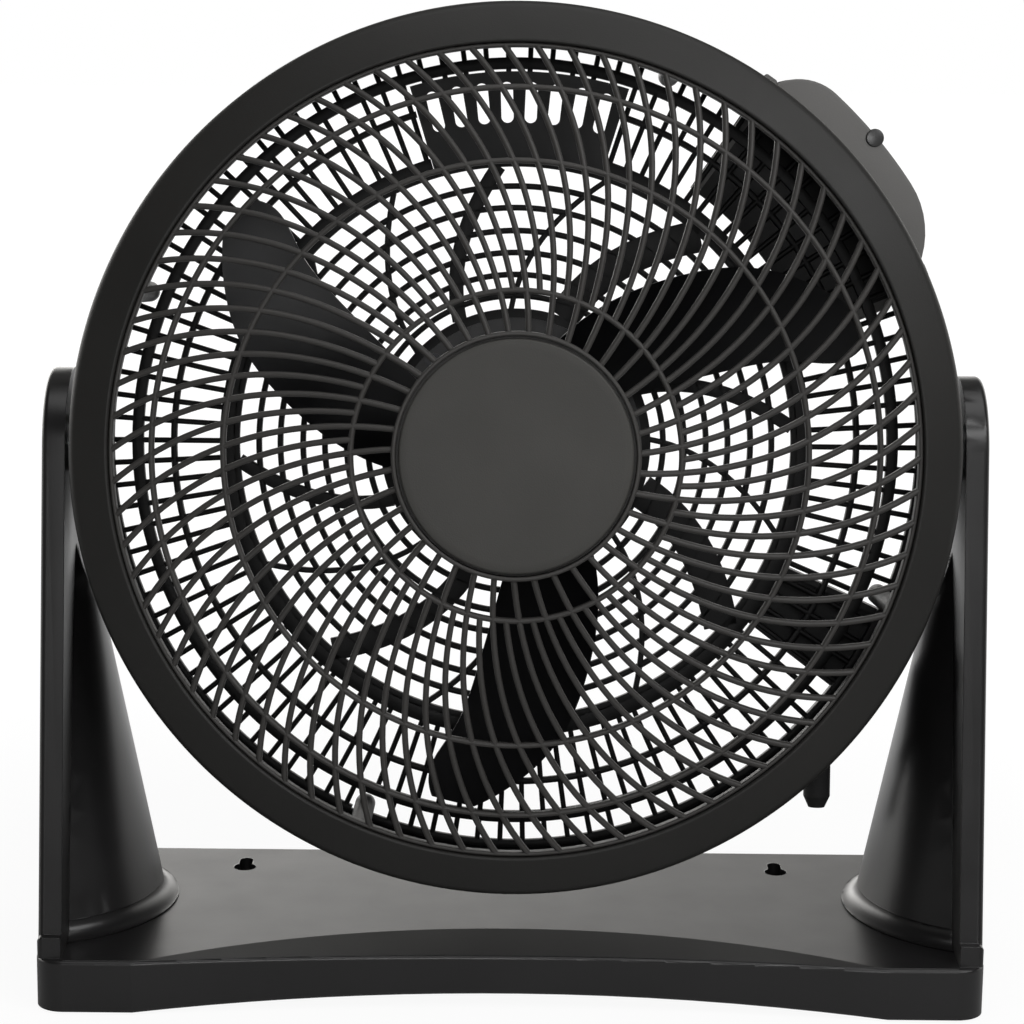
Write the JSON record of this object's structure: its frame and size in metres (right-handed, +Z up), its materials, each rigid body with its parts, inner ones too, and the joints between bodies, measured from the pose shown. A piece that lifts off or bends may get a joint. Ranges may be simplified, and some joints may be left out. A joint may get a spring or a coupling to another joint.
{
  "type": "air circulator fan",
  "caption": "Round air circulator with a tilting fan head, a spiral front grille and swept blades, held between two columns on a flat base.",
  "frame": {"origin": "on the floor, at the middle of the overall footprint and straight under the tilt axis", "axes": "+Z up, the fan blows towards -Y, +X to the right as seen from the front; the tilt axis is along X"},
  "size_m": [0.398, 0.156, 0.4175],
  "materials": {
    "bezel_plastic": "satin",
    "grille_plastic": "satin",
    "housing_plastic": "satin",
    "pod_plastic": "satin",
    "stand_plastic": "satin",
    "blade_plastic": "satin",
    "knob_plastic": "satin",
    "switch_plastic": "matte",
    "rubber": "matte",
    "steel": "satin",
    "motor_steel": "satin",
    "laminations": "matte",
    "copper": "satin",
    "bearing_bronze": "satin"
  },
  "bodies": {
    "stand": {"base": "stand_plastic", "left_column": "stand_plastic", "right_column": "stand_plastic", "base_screws": "steel", "rubber_feet": "rubber", "friction_washers": "steel", "pivot_caps": "stand_plastic"},
    "head": {"front_bezel": "bezel_plastic", "front_grille": "grille_plastic", "hub_cap": "bezel_plastic", "rear_housing": "housing_plastic", "housing_screws": "steel", "rear_grille": "housing_plastic", "carry_handle": "housing_plastic", "motor_front_bell": "motor_steel", "motor_rear_bell": "motor_steel", "stator": "laminations", "windings": "copper", "bearings": "bearing_bronze", "motor_bolts": "steel", "motor_screws": "steel", "motor_cover": "housing_plastic", "pod_housing": "pod_plastic", "pod_cover": "pod_plastic", "pod_screws": "steel", "pod_latch": "housing_plastic", "speed_switch": "switch_plastic", "capacitor": "switch_plastic", "cable_box": "housing_plastic", "cord_gland": "rubber", "pivot_pins": "steel"},
    "rotor": {"motor_shaft": "steel", "rotor_core": "laminations", "fan_blade": "blade_plastic", "blade_nut": "knob_plastic"},
    "knob": {"speed_knob": "knob_plastic", "switch_stem": "switch_plastic"}
  },
  "joints": [
    {"name": "head_tilt", "type": "hinge", "parent": "stand", "child": "head", "pos_m": [0, 0, 0.2285], "axis": [-1, 0, 0], "range_deg": [-15, 84]},
    {"name": "fan_spin", "type": "hinge", "parent": "head", "child": "rotor", "pos_m": [0, 0, 0.2285], "axis": [0, -0.9925, 0.1219], "continuous": true},
    {"name": "speed_knob_turn", "type": "hinge", "parent": "head", "child": "knob", "pos_m": [0.13434, 0.06187, 0.33856], "axis": [0, 0.9925, -0.1219], "range_deg": [0, 120]}
  ]
}
